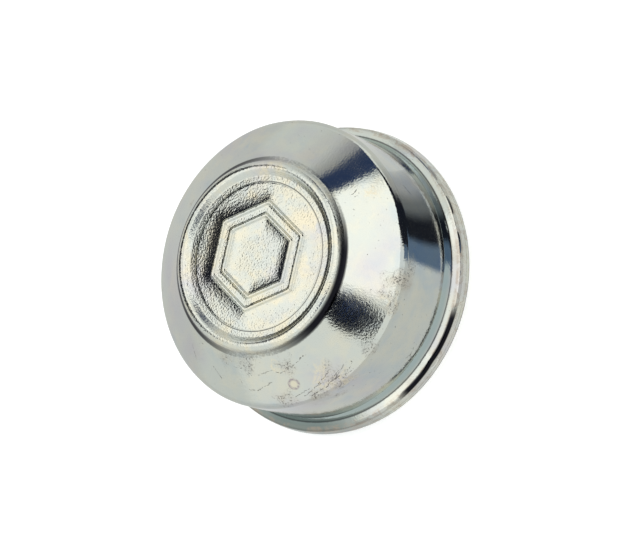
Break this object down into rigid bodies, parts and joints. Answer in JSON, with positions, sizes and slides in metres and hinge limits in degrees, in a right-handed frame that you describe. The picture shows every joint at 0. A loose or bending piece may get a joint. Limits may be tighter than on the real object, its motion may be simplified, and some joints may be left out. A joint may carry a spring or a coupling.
{
  "type": "hub grease cap",
  "caption": "Pressed sheet-steel cap that closes a wheel hub's bore, with a raised ring on its front, a rolled flange and a short press-in skirt.",
  "frame": {"origin": "centre of the cap's open rear edge, on its axis", "axes": "+Z along the cap's axis, out of its closed front; +Y towards one corner of the embossed hexagon"},
  "size_m": [0.076, 0.076, 0.0407],
  "materials": {
    "zinc_plated_steel": "bright zinc plating with a faint yellow passivation, satin, with fine scuffs and stains"
  },
  "bodies": {
    "root": {"grease_cap": "zinc_plated_steel"}
  },
  "joints": []
}
